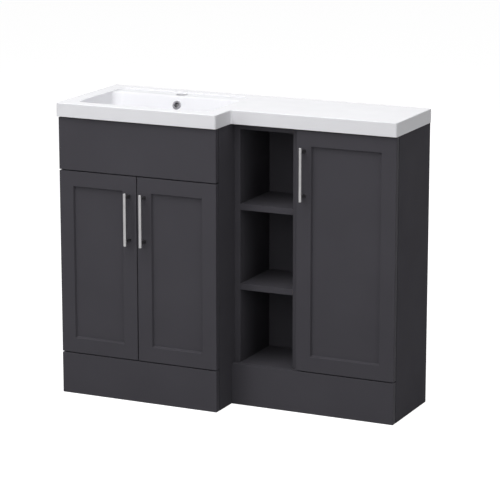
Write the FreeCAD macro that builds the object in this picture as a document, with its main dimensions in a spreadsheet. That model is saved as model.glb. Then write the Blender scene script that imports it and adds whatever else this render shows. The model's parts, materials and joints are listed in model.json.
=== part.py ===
# Combination vanity unit: a basin unit, an open-shelf unit and a cupboard under one L-shaped basin top.
# Millimetres. +X is to the right, +Y towards the wall, +Z up. The origin is on the floor, under the middle of
# the unit's box, which runs from the fronts of the basin unit's handles to the wall.
import FreeCAD, Part
import math
import os
import re
import Sketcher
from FreeCAD import Placement, Rotation, Vector

SIZES = {
    # The three carcasses, side by side and flush at the wall
    "basin_unit_width": 500,
    "shelf_unit_width": 200,
    "cupboard_width": 300,
    "basin_unit_depth": 355,
    "side_unit_depth": 255,
    "carcass_height": 820,
    "board": 18,
    "back_board": 8,
    "back_void": 28,
    "groove_depth": 6,
    "rear_rail_height": 100,
    "front_rail_height": 75,
    "front_rail_overlap": 24,
    "loose_shelf_setback": 25,
    "loose_shelf_clearance": 1,
    "wall_screw_diameter": 8,
    "wall_screw_spacing": 360,
    # Fronts: doors, false front and plinths
    "front_board": 18,
    "reveal": 3,
    "door_side_reveal": 1.5,
    "false_front_height": 151,
    "plinth_height": 121.5,
    "stile_width": 44,
    "panel_recess": 8,
    "panel_bevel": 3,
    # Bar handles
    "handle_length": 154,
    "handle_centres": 128,
    "handle_projection": 32,
    "handle_drop": 44,
    "handle_inset": 23,
    "bar_diameter": 10,
    "bar_chamfer": 1,
    "post_diameter": 10,
    "handle_screw_diameter": 4,
    "handle_screw_grip": 12,
    "handle_screw_head_diameter": 8,
    "handle_screw_head": 2.5,
    # Concealed hinges, each turning on one pin inside its cup
    "hinge_end_offset": 90,
    "cup_diameter": 35,
    "cup_depth": 12.5,
    "cup_edge": 3,
    "cup_flange": 1,
    "cup_flange_lap": 1.5,
    "ear_width": 12,
    "ear_end": 5,
    "cup_screw_spacing": 48,
    "cup_screw_offset": 6,
    "slot_clearance": 0.4,
    "pin_inset": 7,
    "pin_depth": 9,
    "pin_diameter": 2,
    "pin_grip": 3,
    "pin_clearance": 0.05,
    "swing_clearance": 0.6,
    "boss_diameter": 4,
    "arm_thickness": 2,
    "arm_width": 10,
    "plate_thickness": 2,
    "plate_length": 36,
    "plate_height": 44,
    "plate_setback": 37,
    "plate_screw_spacing": 32,
    "arm_screw_offset": 8,
    # Fixings
    "screw_diameter": 3.5,
    "screw_head_diameter": 7,
    "screw_head": 2,
    "hinge_screw_length": 13,
    "arm_screw_length": 10,
    "block_screw_bite": 10,
    "fixing_clearance": 0.05,
    "dowel_diameter": 8,
    "dowel_length": 30,
    "dowel_bite": 12,
    "dowel_end_distance": 40,
    "bolt_diameter": 8,
    "bolt_head_diameter": 15,
    "bolt_head": 2.5,
    "bolt_end_distance": 130,
    "block_width": 18,
    "block_depth": 25,
    "front_block_height": 100,
    "plinth_block_height": 80,
    "shelf_pin_diameter": 5,
    "shelf_pin_bite": 8,
    "shelf_pin_reach": 8,
    "shelf_pin_end_distance": 37,
    "buffer_diameter": 8,
    "buffer_clearance": 0.3,
    "buffer_inset": 14,
    # Basin and worktop casting
    "worktop_thickness": 40,
    "side_overhang": 3,
    "front_overhang": 8,
    "deck_thickness": 18,
    "skirt_thickness": 12,
    "top_edge_radius": 2.5,
    "top_corner_radius": 5,
    "rim_side": 46,
    "rim_front": 41,
    "rim_back": 40,
    "tap_ledge": 48,
    "ledge_drop": 4,
    "rim_edge_radius": 3,
    "lip_radius": 10,
    "bowl_depth": 108,
    "bowl_shell": 9,
    "bowl_corner_radius": 28,
    "bowl_side_taper": 16,
    "bowl_back_taper": 48,
    "bowl_floor_radius": 26,
    "tap_hole": 35,
    "waste_hole": 45,
    "waste_collar": 9,
    "overflow_drop": 26,
    "overflow_hole": 20,
    "overflow_ring_diameter": 27,
    "overflow_bore": 16,
    "overflow_ring_flange": 2.5,
    "overflow_sleeve": 8,
    "channel_width": 26,
    "channel_depth": 6,
    "channel_wall": 3,
}

# Places and lengths that follow from the sizes
PLACES = {
    "unit_width": "basin_unit_width + shelf_unit_width + cupboard_width",
    "x_left": "-unit_width / 2",
    "x_shelf": "x_left + basin_unit_width",
    "x_cupboard": "x_shelf + shelf_unit_width",
    "x_right": "x_cupboard + cupboard_width",
    "y_rear": "(basin_unit_depth + handle_projection) / 2",
    "y_basin_front": "y_rear - basin_unit_depth",
    "y_side_front": "y_rear - side_unit_depth",
    "front_gap": "sqrt(pin_inset ^ 2 + pin_depth ^ 2) - pin_depth + swing_clearance",
    "y_basin_carcass": "y_basin_front + front_board + front_gap",
    "y_side_carcass": "y_side_front + front_board + front_gap",
    "y_back": "y_rear - back_void - back_board",
    "z_doors": "plinth_height + reveal",
    "z_base_under": "plinth_height - reveal",
    "z_base": "z_base_under + board",
    "z_false_front": "z_front_tops - false_front_height",
    "z_basin_doors": "z_false_front - reveal",
    "z_front_tops": "carcass_height - reveal",
    "z_front_rail": "z_basin_doors - front_rail_overlap",
    "z_under_top": "carcass_height - board",
    "niche": "(z_under_top - plinth_height - 2 * board) / 3",
    "z_lower_shelf": "plinth_height + niche",
    "z_upper_shelf": "z_lower_shelf + board + niche",
    "z_loose_shelf": "(z_base + z_under_top - board) / 2",
    "cup_inset": "cup_edge + cup_diameter / 2",
    "slot_half": "arm_width / 2 + slot_clearance",
    "pin_half": "slot_half + pin_grip",
    "ear_half": "cup_screw_spacing / 2 + ear_end",
    "bar_offset": "handle_projection - bar_diameter / 2",
    "top_width": "unit_width + 2 * side_overhang",
    "basin_width": "basin_unit_width + 2 * side_overhang",
    "top_depth": "basin_unit_depth + front_overhang",
    "top_step": "basin_unit_depth - side_unit_depth",
    "z_ledge": "worktop_thickness - ledge_drop",
    "z_bowl_floor": "z_ledge - bowl_depth",
    "bowl_right": "basin_width - rim_side",
    "ledge_back": "top_depth - rim_back",
    "bowl_back": "ledge_back - tap_ledge",
    "bowl_middle": "basin_width / 2",
    "floor_middle": "(rim_front + bowl_side_taper + bowl_back - bowl_back_taper) / 2",
    "bowl_slant": "sqrt(bowl_depth ^ 2 + bowl_back_taper ^ 2)",
    "wall_angle": "atan(bowl_depth / bowl_back_taper)",
    "lip_reach": "lip_radius * tan(wall_angle / 2)",
    "overflow_y": "bowl_back - bowl_back_taper * overflow_drop / bowl_depth",
    "overflow_z": "z_ledge - overflow_drop",
    "z_bowl_under": "z_bowl_floor - bowl_shell",
    "z_collar": "z_bowl_under - channel_depth - channel_wall",
    "shell_lean": "bowl_back_taper / (bowl_depth + bowl_shell)",
    "channel_root": "bowl_shell - channel_wall / 3",
    "z_channel_top": "overflow_z + overflow_hole / 2",
    "screw_radius": "screw_diameter / 2",
    "screw_head_radius": "screw_head_diameter / 2",
}

# The turn that points a cylinder along each axis
TURNS = {"+x": (0, 1, 0, 90), "-x": (0, 1, 0, -90), "+y": (1, 0, 0, -90), "-y": (1, 0, 0, 90), "+z": (0, 0, 1, 0)}
TOLERANCE = 1e-4

doc = FreeCAD.newDocument("vanity_unit")
sheet = doc.addObject("Spreadsheet::Sheet", "Sizes")
for row, (name, value) in enumerate(SIZES.items(), start=1):
    sheet.set(f"A{row}", name)
    sheet.set(f"B{row}", str(value))
    sheet.setAlias(f"B{row}", name)
doc.recompute()

pieces = {}
boards = {}
homes = {}
drillings = {}
dowel_solids = []


def formula(text):
    """Spell a formula out: a place becomes its own formula, and a size its cell of the sheet."""
    def spell(word):
        if word in PLACES:
            return f"({formula(PLACES[word])})"
        return f"Sizes.{word}" if word in SIZES else word
    return re.sub(r"[a-z_]\w*", lambda match: spell(match.group()), text)


def number(text):
    return float(sheet.evalExpression(formula(text)))


def bind(thing, **formulas):
    for name, text in formulas.items():
        thing.setExpression(name, formula(text))
    return thing


def put(thing, x, y, z):
    for axis, text in zip("xyz", (x, y, z)):
        thing.setExpression(f"Placement.Base.{axis}", formula(text))
    return thing


def piece(label, thing):
    """Name an object as one of the sub-parts that are written out."""
    thing.Label = label
    pieces[label] = thing
    return thing


def block(x, y, z):
    """A box that runs between two formulas on each axis."""
    box = doc.addObject("Part::Box", "block")
    lengths = [f"({high}) - ({low})" for low, high in (x, y, z)]
    bind(box, Length=lengths[0], Width=lengths[1], Height=lengths[2])
    return put(box, x[0], y[0], z[0])


def rod(radius, length, at, axis):
    """A cylinder that starts at a point and runs along an axis."""
    turn = TURNS[axis]
    bar = doc.addObject("Part::Cylinder", "rod")
    bar.Placement.Rotation = Rotation(Vector(*turn[:3]), turn[3])
    return put(bind(bar, Radius=radius, Height=length), *at)


def joined(solids):
    if len(solids) == 1:
        return solids[0]
    fuse = doc.addObject("Part::MultiFuse", "joined")
    fuse.Shapes = solids
    return fuse


def cut(base, tools):
    result = doc.addObject("Part::Cut", "cut")
    result.Base = base
    result.Tool = joined(tools)
    return result


def group(label, solids):
    """Identical solids that share one node."""
    compound = doc.addObject("Part::Compound", "group")
    compound.Links = solids
    return piece(label, compound)


def drill(labels, *holes):
    """Note holes that are cut from the named boards once all the fixings are in."""
    for label in labels:
        drillings.setdefault(label, []).extend(holes)


def step(at, axis, distance):
    """The point a formula's distance further along an axis."""
    moved = list(at)
    index = "xyz".index(axis[1])
    moved[index] = f"{at[index]} {axis[0]} ({distance})"
    return tuple(moved)


def peg(radius, length, at, axis, holders):
    """A plain round fixing, and the hole for it in each of its holders."""
    hole = rod(f"{radius} + fixing_clearance", f"{length} + 2 * fixing_clearance",
               step(at, axis, "-fixing_clearance"), axis)
    drill(holders, hole)
    return rod(radius, length, at, axis)


def screw(at, axis, length, holders, radius="screw_radius", head_radius="screw_head_radius", head="screw_head"):
    """A screw with its head seated at a point, driven along an axis into its holders."""
    shank = peg(radius, length, at, axis, holders)
    back = ("-" if axis[0] == "+" else "+") + axis[1]
    return joined([shank, rod(head_radius, head, at, back)])


# Sketches

def sketch_on(body, role, offset="0"):
    """A sketch on one of the body's own planes, lifted off it by a formula."""
    sketch = body.newObject("Sketcher::SketchObject", "sketch")
    plane = next(item for item in body.Origin.OriginFeatures if item.Role == role)
    sketch.AttachmentSupport = [(plane, "")]
    sketch.MapMode = "FlatFace"
    sketch.setExpression("AttachmentOffset.Base.z", formula(offset))
    return sketch


def dimension(sketch, kind, *target, value):
    index = sketch.addConstraint(Sketcher.Constraint(kind, *target, number(value)))
    sketch.setExpression(f"Constraints[{index}]", formula(value))


def pin_point(sketch, line, end, x, y):
    """Hold a point at two distances from the sketch's origin."""
    for kind, text, axis in (("DistanceX", x, -2), ("DistanceY", y, -1)):
        if text == "0":
            sketch.addConstraint(Sketcher.Constraint("PointOnObject", line, end, axis))
        else:
            dimension(sketch, kind, -1, 1, line, end, value=text)


def polygon(sketch, corners):
    """Straight lines through corners that are given as pairs of formulas."""
    points = [Vector(number(x), number(y), 0) for x, y in corners]
    count = len(points)
    for index in range(count):
        sketch.addGeometry(Part.LineSegment(points[index], points[(index + 1) % count]), False)
    for index, (x, y) in enumerate(corners):
        sketch.addConstraint(Sketcher.Constraint("Coincident", index, 2, (index + 1) % count, 1))
        pin_point(sketch, index, 1, x, y)


def rounded_rectangle(sketch, left, right, low, high, radius):
    """Four straight sides joined by four equal arcs."""
    x0, x1, y0, y1, r = (number(text) for text in (left, right, low, high, radius))
    sides = [((x0 + r, y0), (x1 - r, y0)), ((x1, y0 + r), (x1, y1 - r)),
             ((x1 - r, y1), (x0 + r, y1)), ((x0, y1 - r), (x0, y0 + r))]
    centres = [(x1 - r, y0 + r), (x1 - r, y1 - r), (x0 + r, y1 - r), (x0 + r, y0 + r)]
    quarter = math.pi / 2
    for index, (side, centre) in enumerate(zip(sides, centres)):
        start, end = (Vector(*point, 0) for point in side)
        sketch.addGeometry(Part.LineSegment(start, end), False)
        full = Part.Circle(Vector(*centre, 0), Vector(0, 0, 1), r)
        sketch.addGeometry(Part.ArcOfCircle(full, (index - 1) * quarter, index * quarter), False)
    for index in range(4):
        line, arc, following = 2 * index, 2 * index + 1, (2 * index + 2) % 8
        sketch.addConstraint(Sketcher.Constraint("Tangent", line, 2, arc, 1))
        sketch.addConstraint(Sketcher.Constraint("Tangent", arc, 2, following, 1))
        sketch.addConstraint(Sketcher.Constraint("Vertical" if index % 2 else "Horizontal", line))
    for arc in (3, 5, 7):
        sketch.addConstraint(Sketcher.Constraint("Equal", 1, arc))
    dimension(sketch, "Radius", 1, value=radius)
    dimension(sketch, "DistanceY", -1, 1, 0, 1, value=low)
    dimension(sketch, "DistanceX", -1, 1, 2, 1, value=right)
    dimension(sketch, "DistanceY", -1, 1, 4, 1, value=high)
    dimension(sketch, "DistanceX", -1, 1, 6, 1, value=left)


def circle(sketch, x, y, radius):
    shape = Part.Circle(Vector(number(x), number(y), 0), Vector(0, 0, 1), number(radius))
    index = sketch.addGeometry(shape, False)
    pin_point(sketch, index, 3, x, y)
    dimension(sketch, "Radius", index, value=radius)


def pad(body, sketch, length):
    feature = body.newObject("PartDesign::Pad", "pad")
    feature.Profile = sketch
    return bind(feature, Length=length)


def pocket(body, sketch, depth, along_normal=False):
    feature = body.newObject("PartDesign::Pocket", "pocket")
    feature.Profile = sketch
    feature.Reversed = along_normal
    return bind(feature, Length=depth)


def loft(body, kind, sections):
    feature = body.newObject(f"PartDesign::{kind}Loft", "loft")
    feature.Profile = sections[0]
    feature.Sections = sections[1:]
    feature.Ruled = True
    return feature


def fillet(body, radius, chosen):
    """Round the edges of the body's last feature that a test picks."""
    doc.recompute()
    feature = body.Tip
    names = [f"Edge{index}" for index, edge in enumerate(feature.Shape.Edges, start=1) if chosen(edge.BoundBox)]
    rounding = body.newObject("PartDesign::Fillet", "fillet")
    rounding.Base = (feature, names)
    return bind(rounding, Radius=radius)


def turned(corners, at, axis="+z"):
    """A body turned about its own axis from corners given as radius and height."""
    body = doc.addObject("PartDesign::Body", "turned")
    sketch = sketch_on(body, "XZ_Plane")
    polygon(sketch, corners)
    turning = body.newObject("PartDesign::Revolution", "turning")
    turning.Profile = sketch
    turning.ReferenceAxis = (sketch, ["V_Axis"])
    turning.Angle = 360
    turn = TURNS[axis]
    body.Placement.Rotation = Rotation(Vector(*turn[:3]), turn[3])
    return put(body, *at)


# Carcasses

def dowels(left, right, ends, holders):
    """Dowels through both end joints of a board that runs from one side panel to the other."""
    left_side, right_side, cross = holders
    solids = []
    for y, z in ends:
        solids.append(peg("dowel_diameter / 2", "dowel_length", (f"{left} - dowel_bite", y, z), "+x",
                          (left_side, cross)))
        solids.append(peg("dowel_diameter / 2", "dowel_length", (f"{right} + dowel_bite", y, z), "-x",
                          (right_side, cross)))
    return solids


def flat_ends(front, rear, low):
    """Dowel places at the end of a flat board: one near its front, one near its rear."""
    z = f"{low} + board / 2"
    return [(f"{front} + dowel_end_distance", z), (f"{rear} - dowel_end_distance", z)]


def upright_ends(y, low, high):
    """Dowel places at the end of a board that stands on edge."""
    return [(y, f"{low} + dowel_end_distance / 2"), (y, f"{high} - dowel_end_distance / 2")]


def board(label, x, y, z, node=None):
    """A plain board, kept until its drillings are known. Like boards may share a node."""
    boards[label] = block(x, y, z)
    homes[label] = node or label


def side_panels(unit, left, right, front):
    for side, low in (("left", left), ("right", f"{right} - board")):
        board(f"{unit}_{side}_side", (low, f"{low} + board"), (front, "y_rear"), ("0", "carcass_height"))


def cross_board(unit, label, x, y, z, ends):
    """A board between a unit's two sides, with its dowels."""
    board(label, x, y, z)
    dowel_solids.extend(dowels(*x, ends, (f"{unit}_left_side", f"{unit}_right_side", label)))


def back_panel(unit, inner, low):
    """A thin back that slides in grooves in both side panels."""
    left, right = f"{inner[0]} - groove_depth", f"{inner[1]} + groove_depth"
    depth = ("y_back", "y_back + back_board")
    board(f"{unit}_back", (left, right), depth, (low, "z_under_top"))
    groove_depth = ("y_back - fixing_clearance", "y_back + back_board + fixing_clearance")
    for side, ends in (("left", (left, inner[0])), ("right", (inner[1], right))):
        drill([f"{unit}_{side}_side"], block(ends, groove_depth, (low, "z_under_top")))


def basin_unit():
    inner = ("x_left + board", "x_shelf - board")
    side_panels("basin", "x_left", "x_shelf", "y_basin_carcass")
    cross_board("basin", "basin_base", inner, ("y_basin_carcass", "y_rear"), ("z_base_under", "z_base"),
                flat_ends("y_basin_carcass", "y_rear", "z_base_under"))
    rail = ("z_front_rail", "z_front_rail + front_rail_height")
    cross_board("basin", "basin_front_rail", inner, ("y_basin_carcass", "y_basin_carcass + board"), rail,
                upright_ends("y_basin_carcass + board / 2", *rail))
    rear = ("y_rear - board", "y_rear")
    for label, low in (("basin_rear_top_rail", "carcass_height - rear_rail_height"),
                       ("basin_rear_bottom_rail", "z_base")):
        span = (low, f"{low} + rear_rail_height")
        cross_board("basin", label, inner, rear, span, upright_ends("y_rear - board / 2", *span))
    for side in "+-":
        x = f"(x_left + x_shelf) / 2 {side} wall_screw_spacing / 2"
        at = (x, "y_rear - board", "carcass_height - rear_rail_height / 2")
        drill(["basin_rear_top_rail"], rod("wall_screw_diameter / 2", "board", at, "+y"))


def shelf_unit():
    inner = ("x_shelf + board", "x_cupboard - board")
    side_panels("shelf", "x_shelf", "x_cupboard", "y_side_carcass")
    deep = ("y_side_carcass", "y_rear")
    cross_board("shelf", "shelf_top", inner, deep, ("z_under_top", "carcass_height"),
                flat_ends(*deep, "z_under_top"))
    low = "plinth_height - board"
    cross_board("shelf", "shelf_base", inner, ("y_side_carcass - front_gap", "y_rear"), (low, "plinth_height"),
                flat_ends(*deep, low))
    back_panel("shelf", inner, "plinth_height")
    for label, low in (("niche_lower_shelf", "z_lower_shelf"), ("niche_upper_shelf", "z_upper_shelf")):
        cross_board("shelf", label, inner, ("y_side_carcass", "y_back"), (low, f"{low} + board"),
                    flat_ends("y_side_carcass", "y_back", low))


def cupboard_unit():
    inner = ("x_cupboard + board", "x_right - board")
    side_panels("cupboard", "x_cupboard", "x_right", "y_side_carcass")
    deep = ("y_side_carcass", "y_rear")
    for label, low in (("cupboard_top", "z_under_top"), ("cupboard_base", "z_base_under")):
        cross_board("cupboard", label, inner, deep, (low, f"{low} + board"), flat_ends(*deep, low))
    back_panel("cupboard", inner, "z_base")
    loose = (f"{inner[0]} + loose_shelf_clearance", f"{inner[1]} - loose_shelf_clearance")
    reach = ("y_side_carcass + loose_shelf_setback", "y_back - loose_shelf_clearance")
    board("cupboard_shelf", loose, reach, ("z_loose_shelf", "z_loose_shelf + board"))
    pins = []
    height = "z_loose_shelf - shelf_pin_diameter / 2"
    for y in (f"{reach[0]} + shelf_pin_end_distance", f"{reach[1]} - shelf_pin_end_distance"):
        for x, axis, side in ((inner[0], "+x", "left"), (inner[1], "-x", "right")):
            start = step((x, y, height), axis, "-shelf_pin_bite")
            pins.append(peg("shelf_pin_diameter / 2", "shelf_pin_bite + shelf_pin_reach", start, axis,
                            [f"cupboard_{side}_side"]))
    group("shelf_pins", pins)


def fixed_fronts():
    """The plain false front and the two plinths, with the corner blocks that carry them."""
    for label, x, front, z in (
            ("basin_false_front", ("x_left", "x_shelf"), "y_basin_front", ("z_false_front", "z_front_tops")),
            ("basin_plinth", ("x_left", "x_shelf"), "y_basin_front", ("0", "plinth_height")),
            ("right_plinth", ("x_shelf", "x_right"), "y_side_front", ("0", "plinth_height"))):
        board(label, x, (front, f"{front} + front_board"), z)
    screws = []
    basin_sides = (("x_left + board", "+", "basin_left_side"), ("x_shelf - board", "-", "basin_right_side"))
    right_sides = (("x_shelf + board", "+", "shelf_left_side"), ("x_right - board", "-", "cupboard_right_side"))
    under_base = "plinth_height - board - plinth_block_height"
    over_rail = "z_front_rail + front_rail_height"
    for node, front, y_front, sides, low, height in (
            ("false_front_blocks", "basin_false_front", "y_basin_front", basin_sides, over_rail,
             "front_block_height"),
            ("plinth_blocks", "basin_plinth", "y_basin_front", basin_sides, under_base, "plinth_block_height"),
            ("plinth_blocks", "right_plinth", "y_side_front", right_sides, under_base, "plinth_block_height")):
        near = f"{y_front} + front_board"
        far = f"{near} + block_depth"
        for face, sign, side in sides:
            away = f"{face} {sign} block_width"
            label = f"{front}_{side}_block"
            x = (face, away) if sign == "+" else (away, face)
            board(label, x, (near, far), (low, f"{low} + {height}"), node)
            middle = f"{face} {sign} block_width / 2"
            screws.append(screw((middle, far, f"{low} + {height} / 4"), "-y", "block_depth + block_screw_bite",
                                (label, front)))
            towards = ("-" if sign == "+" else "+") + "x"
            screws.append(screw((away, f"{far} - block_depth / 3", f"{low} + {height} * 3 / 4"), towards,
                                "block_width + block_screw_bite", (label, side)))
    group("block_screws", screws)


def connector_bolts():
    """Bolts that clamp neighbouring carcasses, in the void behind the backs."""
    bolts = []
    y = "y_rear - back_void / 2"
    for joint, holders in (("x_shelf", ("basin_right_side", "shelf_left_side")),
                           ("x_cupboard", ("shelf_right_side", "cupboard_left_side"))):
        for z in ("bolt_end_distance + z_base", "carcass_height - bolt_end_distance"):
            start, end = (f"{joint} - board", y, z), (f"{joint} + board", y, z)
            shank = peg("bolt_diameter / 2", "2 * board", start, "+x", holders)
            heads = [rod("bolt_head_diameter / 2", "bolt_head", start, "-x"),
                     rod("bolt_head_diameter / 2", "bolt_head", end, "+x")]
            bolts.append(joined([shank, *heads]))
    group("connector_bolts", bolts)


def door_buffers():
    """Soft stops on the carcass edges, near each door's free corners."""
    length = "front_gap - buffer_clearance"
    basin_middle = "(x_left + x_shelf) / 2"
    places = [(f"{basin_middle} {side} buffer_inset", "y_basin_carcass", z)
              for side in "+-" for z in ("z_doors + buffer_diameter / 2", "z_basin_doors - front_rail_overlap / 2")]
    places += [("x_cupboard + board / 2", "y_side_carcass", z)
               for z in ("z_doors + buffer_inset", "z_front_tops - buffer_inset")]
    group("door_buffers", [rod("buffer_diameter / 2", length, at, "-y") for at in places])


# Doors, with their hinges and handles

class Door:
    """One framed door. hinge_side is +1 where the hinges are on its left edge and -1 on its right edge."""

    def __init__(self, name, left, right, top, front, hinge_side, side_panel):
        self.name, self.left, self.right, self.top, self.front = name, left, right, top, front
        self.hinge_side, self.side_panel = hinge_side, side_panel
        self.back = f"{front} + front_board"
        self.hinge_heights = ("z_doors + hinge_end_offset", f"{top} - hinge_end_offset")

    def x(self, inset):
        """A place at a distance in from the hinge edge, along X."""
        return f"{self.left} + {inset}" if self.hinge_side > 0 else f"{self.right} - ({inset})"

    def span(self, near, far):
        return (self.x(near), self.x(far)) if self.hinge_side > 0 else (self.x(far), self.x(near))

    def axis(self, inwards):
        return "+x" if (self.hinge_side > 0) == inwards else "-x"

    @property
    def handle_x(self):
        return f"{self.right} - handle_inset" if self.hinge_side > 0 else f"{self.left} + handle_inset"

    @property
    def post_heights(self):
        high = f"{self.top} - handle_drop - (handle_length - handle_centres) / 2"
        return (f"{high} - handle_centres", high)

    def panel(self):
        """The framed panel: a board with a bevelled recess, cup bores and drilled holes."""
        body = doc.addObject("PartDesign::Body", "door")
        put(body, self.left, self.back, "z_doors")
        width, height = f"({self.right} - ({self.left}))", f"({self.top} - (z_doors))"
        outline = sketch_on(body, "XZ_Plane")
        polygon(outline, [("0", "0"), (width, "0"), (width, height), ("0", height)])
        pad(body, outline, "front_board")
        sections = []
        for inset, depth in (("stile_width", "0"), ("stile_width + panel_bevel", "panel_recess")):
            section = sketch_on(body, "XZ_Plane", f"front_board - {depth}")
            polygon(section, [(inset, inset), (f"{width} - ({inset})", inset),
                              (f"{width} - ({inset})", f"{height} - ({inset})"), (inset, f"{height} - ({inset})")])
            sections.append(section)
        loft(body, "Subtractive", sections)
        bores = sketch_on(body, "XZ_Plane")
        pilots = sketch_on(body, "XZ_Plane")
        for z in self.hinge_heights:
            local = f"{z} - (z_doors)"
            circle(bores, self.local("cup_inset"), local, "cup_diameter / 2")
            for side in "+-":
                circle(pilots, self.local("cup_inset + cup_screw_offset"),
                       f"{local} {side} cup_screw_spacing / 2", "screw_radius + fixing_clearance")
        pocket(body, bores, "cup_depth", along_normal=True)
        pocket(body, pilots, "hinge_screw_length - cup_flange + fixing_clearance", along_normal=True)
        holes = sketch_on(body, "XZ_Plane")
        for z in self.post_heights:
            circle(holes, f"{self.handle_x} - ({self.left})", f"{z} - (z_doors)",
                   "handle_screw_diameter / 2 + fixing_clearance")
        pocket(body, holes, "front_board", along_normal=True)
        piece(self.name, body)

    def local(self, inset):
        """A place at a distance in from the hinge edge, in the panel's own sketches."""
        return inset if self.hinge_side > 0 else f"{self.right} - ({self.left}) - ({inset})"

    def handle(self):
        """A bar on two posts, held by screws through the door."""
        x = self.handle_x
        radius = "bar_diameter / 2"
        y_bar = f"{self.front} - bar_offset"
        bar = turned([("0", "0"), (f"{radius} - bar_chamfer", "0"), (radius, "bar_chamfer"),
                      (radius, "handle_length - bar_chamfer"), (f"{radius} - bar_chamfer", "handle_length"),
                      ("0", "handle_length")], (x, y_bar, f"{self.top} - handle_drop - handle_length"))
        piece(f"{self.name}_handle_bar", bar)
        posts, screws = [], []
        for z in self.post_heights:
            at = (x, self.front, z)
            post = rod("post_diameter / 2", "bar_offset", at, "-y")
            seat = rod(f"{radius} + fixing_clearance", "2 * post_diameter", (x, y_bar, f"{z} - post_diameter"), "+z")
            thread = rod("handle_screw_diameter / 2 + fixing_clearance", "handle_screw_grip + fixing_clearance",
                         at, "-y")
            posts.append(cut(post, [seat, thread]))
            screws.append(screw((x, self.back, z), "-y", "front_board + handle_screw_grip", (),
                                "handle_screw_diameter / 2", "handle_screw_head_diameter / 2",
                                "handle_screw_head"))
        group(f"{self.name}_handle_posts", posts)
        group(f"{self.name}_handle_screws", screws)

    def hinge_cup(self, z):
        """A cast cup with a screw flange, a slot for the arm and a cross hole for the pin."""
        centre = (self.x("cup_inset"), self.back, z)
        ears_x = self.span("cup_inset + cup_screw_offset - ear_width / 2",
                           "cup_inset + cup_screw_offset + ear_width / 2")
        flange_y = (self.back, f"{self.back} + cup_flange")
        solid = joined([
            rod("cup_diameter / 2", "cup_depth", centre, "-y"),
            rod("cup_diameter / 2 + cup_flange_lap", "cup_flange", centre, "+y"),
            block(ears_x, flange_y, (f"{z} - ear_half", f"{z} + ear_half"))])
        slot = block(self.span("pin_inset - boss_diameter / 2 - slot_clearance",
                               "board + plate_thickness + arm_thickness + slot_clearance"),
                     (f"{self.back} - pin_depth - boss_diameter / 2 - slot_clearance", flange_y[1]),
                     (f"{z} - slot_half", f"{z} + slot_half"))
        cross_hole = rod("pin_diameter / 2", "2 * pin_half", self.pin_start(z), "+z")
        screw_x = self.x("cup_inset + cup_screw_offset")
        holes = [rod("screw_radius + fixing_clearance", "cup_flange",
                     (screw_x, self.back, f"{z} {side} cup_screw_spacing / 2"), "+y") for side in "+-"]
        return cut(solid, [slot, cross_hole, *holes])

    def pin_start(self, z):
        return (self.x("pin_inset"), f"{self.back} - pin_depth", f"{z} - pin_half")

    def hinge_arm(self, z):
        """A bent strip: a boss round the pin, a hook across the cup and a leg back to the plate."""
        high = (f"{z} - arm_width / 2", f"{z} + arm_width / 2")
        y_pin = f"{self.back} - pin_depth"
        leg = ("board + plate_thickness", "board + plate_thickness + arm_thickness")
        hook_y = (f"{y_pin} - arm_thickness / 2", f"{y_pin} + arm_thickness / 2")
        start = (self.x("pin_inset"), y_pin, high[0])
        solid = joined([
            rod("boss_diameter / 2", "arm_width", start, "+z"),
            block(self.span("pin_inset", leg[1]), hook_y, high),
            block(self.span(*leg), (hook_y[0], self.plate_y("plate_length / 2")), high)])
        bearing = rod("pin_diameter / 2 + pin_clearance", "arm_width", start, "+z")
        hole = rod("screw_radius + fixing_clearance", "arm_thickness",
                   (self.x(leg[0]), self.plate_y("arm_screw_offset"), z), self.axis(True))
        return cut(solid, [bearing, hole])

    def plate_y(self, offset):
        """A place along the side panel, measured back from the plate's screw line."""
        return f"{self.back} + front_gap + plate_setback + {offset}"

    def hinge_plate(self, z):
        solid = block(self.span("board", "board + plate_thickness"),
                      (self.plate_y("-plate_length / 2"), self.plate_y("plate_length / 2")),
                      (f"{z} - plate_height / 2", f"{z} + plate_height / 2"))
        places = [(self.plate_y("0"), f"{z} {side} plate_screw_spacing / 2") for side in "+-"]
        places.append((self.plate_y("arm_screw_offset"), z))
        holes = [rod("screw_radius + fixing_clearance", "plate_thickness", (self.x("board"), *place),
                     self.axis(True)) for place in places]
        return cut(solid, holes)

    def hinges(self):
        outwards = self.axis(False)
        cups, pins, arms, plates, cup_screws, plate_screws = [], [], [], [], [], []
        for z in self.hinge_heights:
            cups.append(self.hinge_cup(z))
            pins.append(rod("pin_diameter / 2", "2 * pin_half", self.pin_start(z), "+z"))
            arms.append(self.hinge_arm(z))
            plates.append(self.hinge_plate(z))
            for side in "+-":
                at = (self.x("cup_inset + cup_screw_offset"), f"{self.back} + cup_flange",
                      f"{z} {side} cup_screw_spacing / 2")
                cup_screws.append(screw(at, "-y", "hinge_screw_length", ()))
                at = (self.x("board + plate_thickness"), self.plate_y("0"), f"{z} {side} plate_screw_spacing / 2")
                plate_screws.append(screw(at, outwards, "hinge_screw_length", [self.side_panel]))
            at = (self.x("board + plate_thickness + arm_thickness"), self.plate_y("arm_screw_offset"), z)
            plate_screws.append(screw(at, outwards, "arm_screw_length", [self.side_panel]))
        for label, solids in (("hinge_cups", cups), ("hinge_pins", pins), ("hinge_arms", arms),
                              ("hinge_plates", plates), ("cup_screws", cup_screws)):
            group(f"{self.name}_{label}", solids)
        return plate_screws


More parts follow.
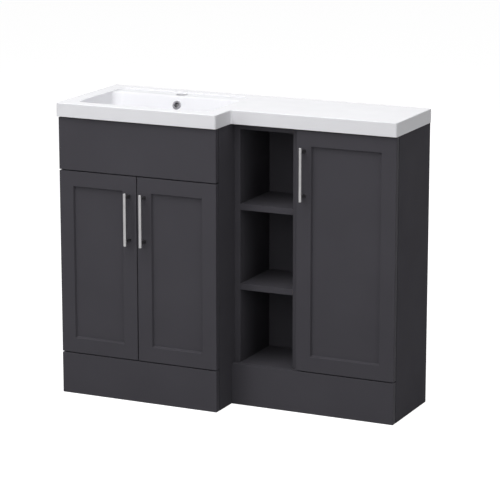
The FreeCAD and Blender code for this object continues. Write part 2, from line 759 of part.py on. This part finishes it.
def doors():
    middle = "(x_left + x_shelf) / 2"
    plate_screws = []
    for door in (
            Door("left_door", "x_left", f"{middle} - reveal / 2", "z_basin_doors", "y_basin_front", 1,
                 "basin_left_side"),
            Door("right_door", f"{middle} + reveal / 2", "x_shelf", "z_basin_doors", "y_basin_front", -1,
                 "basin_right_side"),
            Door("cupboard_door", "x_cupboard + door_side_reveal", "x_right", "z_front_tops", "y_side_front", -1,
                 "cupboard_right_side")):
        door.panel()
        door.handle()
        plate_screws += door.hinges()
    group("hinge_plate_screws", plate_screws)


# Basin top

def top_outline(inset):
    """The corners of the L-shaped top, moved in by a formula on every side."""
    right, rear, step_x = f"top_width - {inset}", f"top_depth - {inset}", f"basin_width - {inset}"
    step_y = f"top_step + {inset}"
    return [(inset, inset), (step_x, inset), (step_x, step_y), (right, step_y), (right, rear), (inset, rear)]


def bowl_section(body, depth, back, shell="0", drop="0"):
    """A level section of the bowl at a depth under its mouth, where its back wall has come forward by a formula.

    For the outside, it is moved out by the shell and let down by a drop.
    """
    side = f"bowl_side_taper * ({depth}) / bowl_depth"
    section = sketch_on(body, "XY_Plane", f"z_ledge - ({depth}) - ({drop})")
    rounded_rectangle(section, f"rim_side + {side} - {shell}", f"bowl_right - {side} + {shell}",
                      f"rim_front + {side} - {shell}", f"bowl_back - ({back}) + {shell}",
                      f"bowl_corner_radius + {shell}")
    return section


def bowl_inside(body):
    """The sections of the bowl's inside: two for the rounded lip under the tap ledge, then its sloping wall."""
    half = "wall_angle / 2"
    lip = [("0", "-lip_reach"),
           (f"lip_radius * (1 - cos({half}))", f"lip_radius * sin({half}) - lip_reach"),
           ("lip_reach * sin(wall_angle)", "lip_reach * cos(wall_angle)")]
    return [bowl_section(body, depth, back) for depth, back in [*lip, ("bowl_depth", "bowl_back_taper")]]


def wall_normal():
    """The turn from +Z to the line that stands square on the bowl's sloping back wall."""
    return Rotation(Vector(1, 0, 0), number("wall_angle"))


def channel_side(body, inwards, outwards, top):
    """The overflow channel from the side, between two distances off the outside of the bowl: down its back wall,
    then forward under its floor to the middle of the waste hole."""
    rear_top = f"{top} - shell_lean * ({outwards})"
    low, high = f"z_bowl_under - ({outwards})", f"z_bowl_under + {inwards}"
    edge = [(f"bowl_back + bowl_shell - shell_lean * (z_ledge - ({z})) + {distance}", z)
            for z, distance in ((top, f"-({inwards})"), (rear_top, outwards), (low, outwards), (high, f"-({inwards})"))]
    side = sketch_on(body, "YZ_Plane", "bowl_middle")
    polygon(side, [*edge[:3], ("floor_middle", low), ("floor_middle", high), edge[3]])
    return side


def overflow_channel(body):
    """The channel cast on the outside of the bowl, which takes the overflow to the side of the waste hole."""
    collar = sketch_on(body, "XY_Plane", "z_collar")
    circle(collar, "bowl_middle", "floor_middle", "waste_hole / 2 + waste_collar")
    pad(body, collar, "z_bowl_floor - (z_collar) - bowl_shell / 2")
    rib = pad(body, channel_side(body, "channel_root", "channel_depth + channel_wall", "z_channel_top"),
              "channel_width + 2 * channel_wall")
    hollow = pocket(body, channel_side(body, "0", "channel_depth", "z_channel_top - channel_wall"), "channel_width")
    for feature in (rib, hollow):
        feature.Midplane = True


def basin_top():
    """One casting: an L-shaped slab, hollow below, with a sunk tap ledge and a bowl."""
    body = doc.addObject("PartDesign::Body", "basin_top")
    put(body, "x_left - side_overhang", "y_basin_front - front_overhang", "carcass_height")
    slab = sketch_on(body, "XY_Plane")
    polygon(slab, top_outline("0"))
    pad(body, slab, "worktop_thickness")
    top = number("worktop_thickness")
    fillet(body, "top_corner_radius", lambda box: box.ZLength > top / 2)
    fillet(body, "top_edge_radius", lambda box: box.ZMin > top - TOLERANCE)
    hollow = sketch_on(body, "XY_Plane")
    polygon(hollow, top_outline("skirt_thickness"))
    pocket(body, hollow, "worktop_thickness - deck_thickness", along_normal=True)
    loft(body, "Additive", [bowl_section(body, "0", "0", "bowl_shell"),
                            bowl_section(body, "bowl_depth", "bowl_back_taper", "bowl_shell", "bowl_shell")])
    well = sketch_on(body, "XY_Plane", "worktop_thickness")
    rounded_rectangle(well, "rim_side", "bowl_right", "rim_front", "ledge_back", "bowl_corner_radius")
    pocket(body, well, "ledge_drop")
    well_rim = FreeCAD.BoundBox(number("rim_side"), number("rim_front"), top,
                                number("bowl_right"), number("ledge_back"), top)
    well_rim.enlarge(TOLERANCE)
    fillet(body, "rim_edge_radius", well_rim.isInside)
    loft(body, "Subtractive", bowl_inside(body))
    floor = number("z_bowl_floor")
    fillet(body, "bowl_floor_radius", lambda box: abs(box.ZMin - floor) + abs(box.ZMax - floor) < TOLERANCE)
    under = number("z_bowl_under")
    fillet(body, "bowl_floor_radius + bowl_shell",
           lambda box: abs(box.ZMin - under) + abs(box.ZMax - under) < TOLERANCE)
    taps = sketch_on(body, "XY_Plane", "z_ledge")
    circle(taps, "bowl_middle", "ledge_back - tap_ledge / 2", "tap_hole / 2")
    pocket(body, taps, "deck_thickness - ledge_drop")
    overflow_channel(body)
    waste = sketch_on(body, "XY_Plane", "z_bowl_floor")
    circle(waste, "bowl_middle", "floor_middle", "waste_hole / 2")
    pocket(body, waste, "z_bowl_floor - (z_collar)")
    overflow = sketch_on(body, "XY_Plane")
    overflow.AttachmentOffset = Placement(Vector(), wall_normal())
    for name, text in (("Base.x", "bowl_middle"), ("Base.y", "overflow_y"), ("Base.z", "overflow_z"),
                       ("Rotation.Angle", "wall_angle")):
        overflow.setExpression(f"AttachmentOffset.{name}", formula(text))
    circle(overflow, "0", "0", "overflow_hole / 2")
    pocket(body, overflow, "bowl_shell + channel_depth / 2")
    piece("basin_worktop", body)


def overflow_ring():
    """A flanged ring whose sleeve sits in the overflow hole, square to the bowl's sloping back wall."""
    bore, sleeve, flange = "overflow_bore / 2", "overflow_hole / 2 - fixing_clearance", "overflow_ring_diameter / 2"
    height = "overflow_sleeve + overflow_ring_flange"
    ring = turned([(bore, "0"), (sleeve, "0"), (sleeve, "overflow_sleeve"), (flange, "overflow_sleeve"),
                   (f"{flange} - overflow_ring_flange / 2", height), (bore, height)],
                  ("x_left - side_overhang + bowl_middle",
                   "y_basin_front - front_overhang + overflow_y + overflow_sleeve * bowl_depth / bowl_slant",
                   "carcass_height + overflow_z - overflow_sleeve * bowl_back_taper / bowl_slant"))
    ring.Placement.Rotation = wall_normal()
    bind(ring, **{"Placement.Rotation.Angle": "wall_angle"})
    piece("overflow_ring", ring)


def finish_boards():
    """Cut each board's drillings and give it to its node."""
    nodes = {}
    for label, raw in boards.items():
        solid = cut(raw, drillings[label]) if label in drillings else raw
        nodes.setdefault(homes[label], []).append(solid)
    for node, solids in nodes.items():
        if len(solids) == 1:
            piece(node, solids[0])
        else:
            group(node, solids)


def write_parts():
    """Check every object, then write each sub-part to its own file."""
    doc.recompute()
    faults = [thing.Label for thing in doc.Objects if {"Invalid", "Error"} & set(thing.State)]
    faults += [label for label, thing in pieces.items() if thing.Shape.isNull() or not thing.Shape.isValid()]
    if faults:
        raise RuntimeError(f"not built: {', '.join(faults)}")
    os.makedirs("parts", exist_ok=True)
    for label, thing in pieces.items():
        thing.Shape.exportStep(f"parts/{label}.step")
        print(f"{label}: {len(thing.Shape.Solids)} solid(s), {thing.Shape.Volume / 1000:.2f} cm3")


basin_unit()
shelf_unit()
cupboard_unit()
fixed_fronts()
connector_bolts()
door_buffers()
doors()
group("dowels", dowel_solids)
basin_top()
overflow_ring()
finish_boards()
write_parts()
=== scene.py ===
"""The looks of the vanity unit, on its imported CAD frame. Metres; +X right, +Y to the wall, +Z up."""
import json
import math

import bmesh
import bpy
from mathutils import Euler, Matrix, Vector

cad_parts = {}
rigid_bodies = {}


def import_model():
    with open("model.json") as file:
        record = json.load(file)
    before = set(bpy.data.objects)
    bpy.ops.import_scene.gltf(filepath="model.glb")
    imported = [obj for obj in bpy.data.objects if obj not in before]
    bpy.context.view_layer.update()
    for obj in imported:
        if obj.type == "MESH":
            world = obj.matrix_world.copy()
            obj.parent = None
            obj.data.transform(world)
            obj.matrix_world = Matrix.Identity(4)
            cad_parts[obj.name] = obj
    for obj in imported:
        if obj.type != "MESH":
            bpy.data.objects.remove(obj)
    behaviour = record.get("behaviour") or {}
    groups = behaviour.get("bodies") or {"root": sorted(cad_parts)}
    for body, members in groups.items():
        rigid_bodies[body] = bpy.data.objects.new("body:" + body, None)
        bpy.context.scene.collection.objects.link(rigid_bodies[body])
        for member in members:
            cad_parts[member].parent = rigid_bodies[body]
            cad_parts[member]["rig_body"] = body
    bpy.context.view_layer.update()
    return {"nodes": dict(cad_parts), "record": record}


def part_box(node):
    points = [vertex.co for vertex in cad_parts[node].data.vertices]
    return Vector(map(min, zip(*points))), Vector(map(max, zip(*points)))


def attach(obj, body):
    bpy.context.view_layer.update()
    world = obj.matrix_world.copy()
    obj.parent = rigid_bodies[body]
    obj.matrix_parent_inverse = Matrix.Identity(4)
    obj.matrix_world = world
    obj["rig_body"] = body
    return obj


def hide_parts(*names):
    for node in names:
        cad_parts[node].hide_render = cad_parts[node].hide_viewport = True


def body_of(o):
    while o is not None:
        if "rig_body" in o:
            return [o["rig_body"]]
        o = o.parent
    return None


for thing in list(bpy.data.objects):
    bpy.data.objects.remove(thing)
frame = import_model()
nodes = frame["nodes"]
slots = {part["node"]: part["material_slot"] for part in frame["record"]["subparts"]}
scene = bpy.context.scene
scene.view_settings.view_transform = "Standard"

MM = 0.001
# Colours, in linear red, green and blue
ANTHRACITE = (0.0664, 0.0638, 0.0732)
CHIPBOARD = (0.42, 0.30, 0.18)
HARDBOARD = (0.26, 0.16, 0.085)
CASTING = (0.804, 0.804, 0.832)
CASTING_BACK = (0.66, 0.65, 0.61)
NICKEL = (0.36, 0.355, 0.36)
# Darker than the bars' nickel: painted shade and a painted dark reflection of the door on the handle posts,
# which are the same satin nickel as the bars
SHADED_NICKEL_POST = (0.21, 0.208, 0.21)
STEEL = (0.62, 0.615, 0.595)
ZINC = (0.44, 0.455, 0.48)
CHROME = (0.31, 0.31, 0.33)
RUBBER = (0.72, 0.72, 0.70)
TIMBER = (0.56, 0.39, 0.22)
# Colours of the stage, which are opaque
WHITE = (1, 1, 1, 1)
FLOOR_GREY = (0.4, 0.4, 0.4, 1)

# The values that noise mostly stays between
NOISE_LOW, NOISE_HIGH = 0.3, 0.7
# A face points along an axis where its normal reaches this far along it
FACING = 0.5
CHIP_SIZE = 1.6 * MM
CASTING_BACK_ROUGHNESS = 0.6
# The middle of the bowl's mouth
BOWL_CENTRE = (-0.25, -0.0275)

# Points of a mesh that lie this near are one point
WELD = 0.002 * MM
# Faces that meet at less than the first angle are one; edges sharper than the second are rounded
FLAT_ANGLE, SHARP_ANGLE = math.radians(0.5), math.radians(35)
# Edge rounding for each material slot: radius and segments
EDGES = {
    "anthracite_front": (1.0 * MM, 3),
    "anthracite_board": (0.5 * MM, 2),
    "back_board": (0.3 * MM, 1),
    "white_casting": (0.8 * MM, 2),
    "handle_nickel": (0.35 * MM, 2),
    "hinge_steel": (0.25 * MM, 2),
    "zinc_fixing": (0.4 * MM, 2),
    "chrome_trim": (0.5 * MM, 3),
    "clear_rubber": (1.0 * MM, 3),
    "plain_timber": (0.8 * MM, 2),
}

# A screw head's outline, from its seat up: shares of its radius and height
HEAD_PROFILE = ((1, 0), (1, 0.4), (0.92, 0.75), (0.76, 1))
# A recess's outline, from its mouth in: shares of the mouth's size and the head's height
RECESS_PROFILE = ((1, 1), (0.75, 0.35))
# Sizes of the recesses' mouths, as shares of the head's radius
CROSS_ARM, CROSS_HALF_WIDTH, HEXAGON_RADIUS = 0.6, 0.14, 0.42
# A point farther from the axis than this many shank radii belongs to a head
HEAD_OVERHANG = 1.2
HEAD_SEGMENTS = 24
# Edge rounding for a head: radius and segments
HEAD_EDGE = (0.08 * MM, 1)
GOLDEN_ANGLE = math.radians(137.5)

# Half the floor's width, its brightness to the camera, and the soft edge of the dark under the unit
FLOOR_HALF_WIDTH = 40
FLOOR_GLOW = 0.9
SHADE_EDGE = 20 * MM
# The light that the surround gives, where the camera sees it at full strength
AMBIENT = 0.19
# Square lamps: place, the point that each faces, width, and power in watts
LAMPS = {
    "key": ((-1.25, -2.3, 1.1), (-0.15, 0, 0.45), 1.1, 9),
    "front": ((0.6, -3.4, 1.7), (0.1, 0, 0.45), 1.6, 16),
    "above": ((-0.6, -2.6, 3.4), (-0.1, 0, 0.5), 2.0, 39.5),
    "overhead": ((0, -0.6, 4.0), (0, 0, 0.8), 3.0, 87),
    "right": ((4.4, -1.6, 1.8), (0.3, 0, 0.45), 2.4, 28),
    "rear": ((0.4, 4.6, 0.95), (0, 0, 0.45), 1.8, 60),
}
# The photograph's camera: place, degrees below the horizon and round the unit, lens and sensor in mm
CAMERA_PLACE = (2.8561, -6.0124, 1.9936)
CAMERA_DIP, CAMERA_TURN = 13.121, 25.18
LENS, SENSOR = 171.59, 36.0


def add_node(tree, kind, inputs=None, **settings):
    """A shader node, with its settings made and its inputs linked or filled."""
    node = tree.nodes.new("ShaderNode" + kind)
    for name, value in settings.items():
        setattr(node, name, value)
    for socket, value in (inputs or {}).items():
        if isinstance(value, bpy.types.NodeSocket):
            tree.links.new(value, node.inputs[socket])
        else:
            node.inputs[socket].default_value = value
    return node


class Finish:
    """A Principled material, with short ways to add the nodes that shade it."""

    def __init__(self, name, **constants):
        self.material = bpy.data.materials.new(name)
        self.material.use_nodes = True
        self.tree = self.material.node_tree
        self.shader = self.tree.nodes["Principled BSDF"]
        for socket, value in constants.items():
            self.shader.inputs[socket.replace("_", " ")].default_value = value
        self.coordinates = self.add("TexCoord").outputs

    def add(self, kind, inputs=None, **settings):
        """A node in this material."""
        return add_node(self.tree, kind, inputs, **settings)

    def shade(self, **outputs):
        """Link outputs to the shader's own sockets."""
        for socket, output in outputs.items():
            self.tree.links.new(output, self.shader.inputs[socket.replace("_", " ")])

    def noise(self, size, detail=2.0, stretch=(1, 1, 1)):
        """Noise with lumps about size across, drawn out along each axis by stretch."""
        scale = [1 / (size * factor) for factor in stretch]
        placed = self.add("Mapping", {"Vector": self.coordinates["Object"], "Scale": scale}).outputs[0]
        return self.add("TexNoise", {"Vector": placed, "Scale": 1.0, "Detail": detail}).outputs["Fac"]

    def cells(self, size):
        """A grey value for each of many small chips."""
        chips = self.add("TexVoronoi", {"Vector": self.coordinates["Object"], "Scale": 1 / size})
        return self.add("SeparateColor", {"Color": chips.outputs["Color"]}).outputs[0]

    def span(self, factor, low, high, start=NOISE_LOW, end=NOISE_HIGH):
        """A factor spread from low to high."""
        return self.add("MapRange", {"Value": factor, "From Min": start, "From Max": end,
                                     "To Min": low, "To Max": high}).outputs[0]

    def tints(self, factor, colour, *stops):
        """A colour made lighter and darker by a factor, through stops of place and amount."""
        ramp = self.add("ValToRGB", {"Fac": factor})
        elements = ramp.color_ramp.elements
        while len(elements) < len(stops):
            elements.new(0.5)
        for element, (place, amount) in zip(elements, stops):
            element.position = place
            element.color = (*(channel * amount for channel in colour), 1.0)
        return ramp.outputs["Color"]

    def clouded(self, colour, size, spread, detail=3.0):
        """A colour that drifts a little lighter and darker."""
        cloud = self.noise(size, detail)
        return self.tints(cloud, colour, (NOISE_LOW, 1 - spread), (NOISE_HIGH, 1 + spread))

    def math(self, operation, first, second=0.0):
        """A value worked out from one or two others."""
        return self.add("Math", {0: first, 1: second}, operation=operation).outputs[0]

    def choose(self, factor, first, second):
        """One of two colours, by a factor of 0 or 1."""
        return self.add("Mix", {0: factor, 6: first, 7: second}, data_type="RGBA").outputs[2]

    def choose_value(self, factor, first, second):
        """One of two values, by a factor of 0 or 1."""
        return self.add("Mix", {0: factor, 2: first, 3: second}).outputs[0]

    def axes(self, vector):
        """The X, Y and Z of a vector."""
        return self.add("SeparateXYZ", {0: vector}).outputs

    def bump(self, height, depth):
        """A normal from a height, where depth is the real depth of its full range."""
        return self.add("Bump", {"Height": height, "Strength": 1.0, "Distance": depth}).outputs[0]


def lacquer():
    """Satin anthracite lacquer on the doors, false front and plinths."""
    finish = Finish("anthracite_front", Specular_IOR_Level=0.02)
    finish.shade(Base_Color=finish.clouded(ANTHRACITE, size=180 * MM, spread=0.04),
                 Roughness=finish.span(finish.noise(45 * MM, detail=4.0), low=0.5, high=0.6),
                 Normal=finish.bump(finish.noise(1.8 * MM, detail=3.0), depth=0.02 * MM))
    return finish.material


def face_board(finish, bare, bare_colour, bare_roughness):
    """Shade a board as bare where that factor is 1, and as faced with anthracite elsewhere."""
    facing = finish.clouded(ANTHRACITE, size=120 * MM, spread=0.05)
    sheen = finish.span(finish.noise(30 * MM, detail=4.0), low=0.46, high=0.58)
    finish.shade(Base_Color=finish.choose(bare, facing, bare_colour),
                 Roughness=finish.choose_value(bare, sheen, bare_roughness))


def faced_board(name, flat_axis):
    """Board with anthracite on both faces and its front edges, and bare chipboard on its other edges."""
    finish = Finish(name, Specular_IOR_Level=0.004)
    normal = finish.axes(finish.coordinates["Normal"])
    edge = finish.math("LESS_THAN", finish.math("ABSOLUTE", normal[flat_axis]), FACING)
    bare = finish.math("MULTIPLY", edge, finish.math("GREATER_THAN", normal["Y"], -FACING))
    chips = finish.cells(CHIP_SIZE)
    chip_colour = finish.tints(chips, CHIPBOARD, (0.1, 0.55), (0.55, 1.0), (0.9, 1.45))
    face_board(finish, bare, chip_colour, bare_roughness=0.9)
    texture = finish.choose_value(bare, finish.noise(0.9 * MM), chips)
    finish.shade(Normal=finish.bump(texture, depth=0.05 * MM))
    return finish.material


def back_board():
    """A thin back: anthracite towards the room, brown hardboard towards the wall and round its edges."""
    finish = Finish("back_board", Specular_IOR_Level=0.004)
    bare = finish.math("GREATER_THAN", finish.axes(finish.coordinates["Normal"])["Y"], -FACING)
    fibres = finish.noise(2.5 * MM, detail=6.0)
    fibre_colour = finish.tints(fibres, HARDBOARD, (NOISE_LOW, 0.75), (NOISE_HIGH, 1.3))
    face_board(finish, bare, fibre_colour, bare_roughness=0.8)
    finish.shade(Normal=finish.bump(finish.noise(0.9 * MM, detail=3.0), depth=0.04 * MM))
    return finish.material


def gel_coat():
    """White gloss casting, with a duller unpolished back under the deck and round the bowl's outside."""
    finish = Finish("white_casting", Specular_IOR_Level=0.06)
    place, normal = finish.coordinates["Object"], finish.coordinates["Normal"]
    bowl = Vector((*BOWL_CENTRE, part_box("basin_worktop")[1].z))
    outwards = finish.add("VectorMath", {0: place, 1: bowl}, operation="SUBTRACT").outputs[0]
    away = finish.add("VectorMath", {0: outwards, 1: normal}, operation="DOT_PRODUCT").outputs["Value"]
    below_deck = finish.math("LESS_THAN", finish.axes(place)["Z"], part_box("basin_left_side")[1].z)
    outside = finish.math("MULTIPLY", finish.math("GREATER_THAN", away, 0.0), below_deck)
    under = finish.math("LESS_THAN", finish.axes(normal)["Z"], -FACING)
    back = finish.math("MAXIMUM", under, outside)
    gloss = finish.clouded(CASTING, size=90 * MM, spread=0.012, detail=5.0)
    dull = finish.clouded(CASTING_BACK, size=14 * MM, spread=0.08, detail=6.0)
    sheen = finish.span(finish.noise(60 * MM, detail=4.0), low=0.13, high=0.2)
    finish.shade(Base_Color=finish.choose(back, gloss, dull),
                 Roughness=finish.choose_value(back, sheen, CASTING_BACK_ROUGHNESS),
                 Normal=finish.bump(finish.noise(35 * MM), depth=0.012 * MM))
    return finish.material


def metal(name, colour, roughness, lines, depth, spread=0.05):
    """A metal with fine lines, drawn out along an axis by the three factors of lines."""
    finish = Finish(name, Metallic=1.0)
    grain = finish.noise(0.25 * MM, detail=3.0, stretch=lines)
    finish.shade(Base_Color=finish.clouded(colour, size=20 * MM, spread=spread),
                 Roughness=finish.span(grain, *roughness), Normal=finish.bump(grain, depth))
    return finish.material


def soft_buffer():
    """Clear soft plastic."""
    finish = Finish("clear_rubber", Transmission_Weight=0.5, IOR=1.45)
    finish.shade(Base_Color=finish.clouded(RUBBER, size=4 * MM, spread=0.05),
                 Roughness=finish.span(finish.noise(1 * MM, detail=3.0), low=0.35, high=0.5))
    return finish.material


def timber():
    """Planed softwood, with its grain running up."""
    finish = Finish("plain_timber")
    grain = finish.noise(1.4 * MM, detail=5.0, stretch=(1, 1, 25))
    finish.shade(Base_Color=finish.tints(grain, TIMBER, (NOISE_LOW, 0.7), (0.5, 1.0), (NOISE_HIGH, 1.2)),
                 Roughness=finish.span(grain, low=0.55, high=0.75),
                 Normal=finish.bump(grain, depth=0.1 * MM))
    return finish.material


FINISHES = {
    "anthracite_front": lacquer(),
    "back_board": back_board(),
    "white_casting": gel_coat(),
    "handle_nickel": metal("handle_nickel", NICKEL, (0.26, 0.38), lines=(1, 1, 60), depth=0.006 * MM),
    # The handle posts take a darker copy of the bars' nickel, as painted shade and painted dark reflection
    "handle_post": metal("handle_post", SHADED_NICKEL_POST, (0.3, 0.42), lines=(1, 60, 1), depth=0.006 * MM),
    "hinge_steel": metal("hinge_steel", STEEL, (0.34, 0.48), lines=(1, 4, 4), depth=0.004 * MM),
    "zinc_fixing": metal("zinc_fixing", ZINC, (0.32, 0.5), lines=(1, 1, 1), depth=0.01 * MM, spread=0.12),
    "chrome_trim": metal("chrome_trim", CHROME, (0.05, 0.11), lines=(1, 1, 1), depth=0.001 * MM,
                         spread=0.02),
    "clear_rubber": soft_buffer(),
    "plain_timber": timber(),
}
BOARDS = {axis: faced_board(f"anthracite_board_{axis.lower()}", axis) for axis in "XYZ"}


def thin_axis(node):
    """The axis that a board is thinnest along."""
    low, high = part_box(node)
    return min("XYZ", key=lambda axis: (high - low)["XYZ".index(axis)])


def finish_for(name, slot):
    """The material of a CAD node: boards by the way they lie, and handle posts in a darker nickel than
    their bars, as painted shade.
    """
    if slot == "anthracite_board":
        return BOARDS[thin_axis(name)]
    return FINISHES["handle_post" if name.endswith("_handle_posts") else slot]


def soften(obj, radius, segments):
    """Round a piece's edges as it is drawn, with its own mesh left alone."""
    weld = obj.modifiers.new("weld", "WELD")
    weld.merge_threshold = WELD
    flat = obj.modifiers.new("flat_faces", "DECIMATE")
    flat.decimate_type = "DISSOLVE"
    flat.angle_limit = FLAT_ANGLE
    edge = obj.modifiers.new("edge_radius", "BEVEL")
    edge.width, edge.segments = radius, segments
    edge.limit_method, edge.angle_limit = "ANGLE", SHARP_ANGLE
    edge.use_clamp_overlap = False
    edge.loop_slide = False
    shading = obj.modifiers.new("shading", "WEIGHTED_NORMAL")
    shading.keep_sharp = False
    for face in obj.data.polygons:
        face.use_smooth = True


def solids(obj):
    """The points of each separate solid of a CAD node, in the order of its mesh."""
    bm = bmesh.new()
    bm.from_mesh(obj.data)
    bmesh.ops.remove_doubles(bm, verts=bm.verts, dist=WELD)
    done, found = set(), []
    for start in bm.verts:
        if start in done:
            continue
        done.add(start)
        points, growing = [], [start]
        while growing:
            vert = growing.pop()
            points.append(vert.co.copy())
            joined = [edge.other_vert(vert) for edge in vert.link_edges]
            fresh = [other for other in joined if other not in done]
            done.update(fresh)
            growing.extend(fresh)
        found.append(points)
    bm.free()
    return found


def heads(points):
    """Each head of the screw or bolt that has those points: the place of its seat, where +Z points out
    of the head, then its shank's radius and length, and its own radius and height."""
    low, high = (Vector([pick(values) for values in zip(*points)]) for pick in (min, max))
    axis = max(range(3), key=lambda index: (high - low)[index])
    centre = (low + high) / 2
    reach = [Vector([value for index, value in enumerate(point - centre) if index != axis]).length
             for point in points]
    shank, radius = min(reach), max(reach)
    seats = {}
    for end, side in ((low[axis], -1), (high[axis], 1)):
        places = [point[axis] for point, away in zip(points, reach)
                  if away > HEAD_OVERHANG * shank and (point[axis] - centre[axis]) * side > 0]
        if places:
            seats[side] = (end, min(places, key=lambda place: place * side))
    for side, (end, seat) in seats.items():
        far = centre[axis] if len(seats) == 2 else (low if side > 0 else high)[axis]
        at, outwards = centre.copy(), Vector((0, 0, 0))
        at[axis], outwards[axis] = seat, side
        place = Matrix.Translation(at) @ outwards.to_track_quat("Z", "Y").to_matrix().to_4x4()
        yield place, shank, abs(seat - far), radius, abs(end - seat)


def turns(count):
    """Turns by equal steps round a full circle."""
    return [Matrix.Rotation(math.tau * step / count, 2) for step in range(count)]


def cross(radius):
    """The outline of a cross recess in a screw head of that radius."""
    arm, half = CROSS_ARM * radius, CROSS_HALF_WIDTH * radius
    corners = ((arm, -half), (arm, half), (half, half))
    return [turn @ Vector(corner) for turn in turns(4) for corner in corners]


def hexagon(radius):
    """The outline of a hexagon socket in a bolt head of that radius."""
    return [turn @ Vector((HEXAGON_RADIUS * radius, 0)) for turn in turns(6)]


def headed(bm, place, shank, length, radius, height, recess):
    """A shank and a rounded head with a recess, where place is the head's seat, with +Z out of the head."""
    def loop(points, z):
        return [bm.verts.new(place @ Vector((*point, z))) for point in points]
    circle = [turn @ Vector((1, 0)) for turn in turns(HEAD_SEGMENTS)]
    head = [(share * radius, rise * height) for share, rise in HEAD_PROFILE]
    profile = [(shank, -length), (shank, 0), *head]
    outside = [loop([point * size for point in circle], z) for size, z in profile]
    mouth = recess(radius)
    inside = [loop([point * share for point in mouth], rise * height) for share, rise in RECESS_PROFILE]
    for loops in (outside, inside):
        for first, second in zip(loops, loops[1:]):
            for index in range(len(first)):
                bm.faces.new((first[index - 1], first[index], second[index], second[index - 1]))
    bm.faces.new(outside[0])
    bm.faces.new(inside[-1])
    rims = [bm.edges.get((rim[index - 1], rim[index]))
            for rim in (outside[-1], inside[0]) for index in range(len(rim))]
    bmesh.ops.triangle_fill(bm, use_beauty=True, edges=rims)


def recess_heads(node, recess):
    """Stand screws with recessed heads in for a CAD node's plain ones, each turned by another angle."""
    bm = bmesh.new()
    for count, points in enumerate(solids(nodes[node])):
        turn = Matrix.Rotation(GOLDEN_ANGLE * count, 4, "Z")
        for place, *sizes in heads(points):
            headed(bm, place @ turn, *sizes, recess)
    bmesh.ops.recalc_face_normals(bm, faces=bm.faces)
    mesh = bpy.data.meshes.new(f"{node}_recessed")
    bm.to_mesh(mesh)
    bm.free()
    mesh.materials.append(FINISHES[slots[node]])
    piece = bpy.data.objects.new(mesh.name, mesh)
    scene.collection.objects.link(piece)
    soften(piece, *HEAD_EDGE)
    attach(piece, body_of(nodes[node])[0])
    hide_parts(node)


def seen(tree, strength=1.0):
    """A strength for what the camera, a mirror or clear plastic sees, and none for other light."""
    path = add_node(tree, "LightPath").outputs
    total = path["Is Camera Ray"]
    for ray in ("Is Glossy Ray", "Is Transmission Ray"):
        total = add_node(tree, "Math", {0: total, 1: path[ray]}, operation="ADD", use_clamp=True).outputs[0]
    return add_node(tree, "Math", {0: total, 1: strength}, operation="MULTIPLY").outputs[0]


def off_rectangle(finish, low, high):
    """1 on the floor outside a rectangle, and 0 inside it."""
    place = finish.axes(finish.coordinates["Object"])
    factors = []
    for axis in range(2):
        middle, half = (low[axis] + high[axis]) / 2, (high[axis] - low[axis]) / 2
        offset = finish.math("ABSOLUTE", finish.math("SUBTRACT", place[axis], middle))
        factors.append(finish.span(offset, 0.0, 1.0, half - SHADE_EDGE, half))
    return finish.math("MAXIMUM", *factors)


def lay_floor():
    """A pale floor that keeps the shadow, and stays dark in the closed space under the unit."""
    bm = bmesh.new()
    bmesh.ops.create_grid(bm, x_segments=1, y_segments=1, size=FLOOR_HALF_WIDTH)
    mesh = bpy.data.meshes.new("floor")
    bm.to_mesh(mesh)
    bm.free()
    floor = bpy.data.objects.new("floor", mesh)
    scene.collection.objects.link(floor)
    paint = Finish("floor", Base_Color=FLOOR_GREY, Roughness=0.9, Specular_IOR_Level=0.0,
                   Emission_Color=WHITE)
    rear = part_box("basin_left_side")[1].y
    basin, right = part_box("basin_plinth"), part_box("right_plinth")
    clear = paint.math("MULTIPLY", off_rectangle(paint, basin[0], (basin[1].x, rear)),
                       off_rectangle(paint, (basin[0].x, right[0].y), (right[1].x, rear)))
    paint.shade(Emission_Strength=paint.math("MULTIPLY", seen(paint.tree, FLOOR_GLOW), clear))
    mesh.materials.append(paint.material)


def set_surround():
    """A surround that looks white and gives a little even light."""
    world = bpy.data.worlds.new("surround")
    world.use_nodes = True
    scene.world = world
    tree = world.node_tree
    background = tree.nodes["Background"]
    background.inputs["Color"].default_value = WHITE
    level = add_node(tree, "Math", {0: seen(tree), 1: 1 - AMBIENT, 2: AMBIENT}, operation="MULTIPLY_ADD")
    tree.links.new(level.outputs[0], background.inputs["Strength"])


def hang_lamps():
    """Soft light from the front, from above, from the right and from behind."""
    for name, (place, aim, size, power) in LAMPS.items():
        lamp = bpy.data.lights.new(name, "AREA")
        lamp.shape, lamp.size, lamp.energy = "SQUARE", size, power
        obj = bpy.data.objects.new(name, lamp)
        obj.location = place
        obj.rotation_euler = (Vector(aim) - Vector(place)).to_track_quat("-Z", "Y").to_euler()
        scene.collection.objects.link(obj)


def aim_camera():
    """The camera that was fitted to the photograph."""
    lens = bpy.data.cameras.new("camera")
    lens.sensor_width, lens.lens = SENSOR, LENS
    obj = bpy.data.objects.new("camera", lens)
    obj.location = CAMERA_PLACE
    obj.rotation_euler = Euler((math.radians(90 - CAMERA_DIP), 0, math.radians(CAMERA_TURN)))
    scene.collection.objects.link(obj)
    scene.camera = obj


for name, obj in nodes.items():
    obj.material_slots[0].material = finish_for(name, slots[name])
    soften(obj, *EDGES[slots[name]])
for name in list(nodes):
    if name.endswith("_screws"):
        recess_heads(name, cross)
recess_heads("connector_bolts", hexagon)
lay_floor()
set_surround()
hang_lamps()
aim_camera()
bpy.context.view_layer.update()
